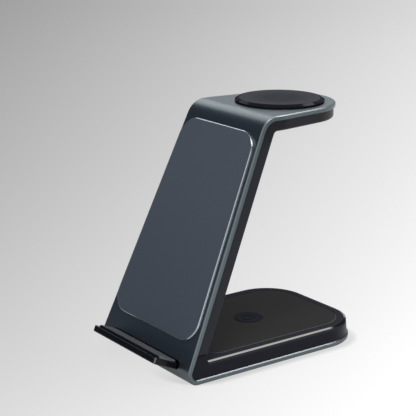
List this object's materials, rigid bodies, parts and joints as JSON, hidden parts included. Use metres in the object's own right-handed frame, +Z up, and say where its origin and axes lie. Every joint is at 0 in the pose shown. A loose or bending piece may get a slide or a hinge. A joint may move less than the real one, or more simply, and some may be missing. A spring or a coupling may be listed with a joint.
{
  "type": "three in one wireless charger",
  "caption": "Desk charging stand: a bent metal band with a sloping phone pad and ledge, a raised watch puck on its shelf and an earbuds pad on its base.",
  "frame": {"origin": "on the table under the middle of the whole stand, at the feet's under side", "axes": "+X to the right as seen from the phone's side, -Y towards the phone's user, +Z up"},
  "size_m": [0.088, 0.1444, 0.1438],
  "materials": {
    "band": "satin blue grey anodised",
    "phone_pad": "soft-touch slate coat",
    "black_moulding": "fine matt grain",
    "base_top": "satin black with a bright bevel",
    "earbuds_pad": "matt olive black",
    "puck_rim": "satin black",
    "watch_pad": "matt dark grey",
    "ledge": "fine matt black",
    "ledge_grip": "matt grey",
    "winding": "enamelled copper",
    "ferrite": "dark sintered sheet",
    "inner_plastic": "plain moulded",
    "magnet": "nickel plated",
    "circuit_board": "green solder mask",
    "board_parts": "black moulded cases",
    "socket_metal": "stamped steel",
    "socket_tongue": "black moulded",
    "flex_cable": "amber film",
    "screws": "dark zinc",
    "feet": "matt black"
  },
  "bodies": {
    "root": {"band_frame": "band", "phone_pad": "phone_pad", "phone_coil_lower": "winding", "phone_coil_upper": "winding", "phone_ferrite": "ferrite", "coil_tray": "inner_plastic", "spine_cover": "black_moulding", "base_tray": "black_moulding", "base_top_cover": "base_top", "earbuds_pad": "earbuds_pad", "earbuds_coil": "winding", "earbuds_ferrite": "ferrite", "watch_puck": "puck_rim", "watch_pad": "watch_pad", "watch_coil": "winding", "watch_ferrite": "ferrite", "watch_holder": "inner_plastic", "watch_magnet": "magnet", "phone_ledge": "ledge", "ledge_grip": "ledge_grip", "main_board": "circuit_board", "board_parts": "board_parts", "socket_shell": "socket_metal", "socket_tongue": "socket_tongue", "flex_cable": "flex_cable", "base_screws": "screws", "spine_screws": "screws", "puck_screws": "screws", "ledge_screws": "screws", "board_screws": "screws", "foot_front_left": "feet", "foot_front_right": "feet", "foot_back_left": "feet", "foot_back_right": "feet"}
  },
  "joints": []
}
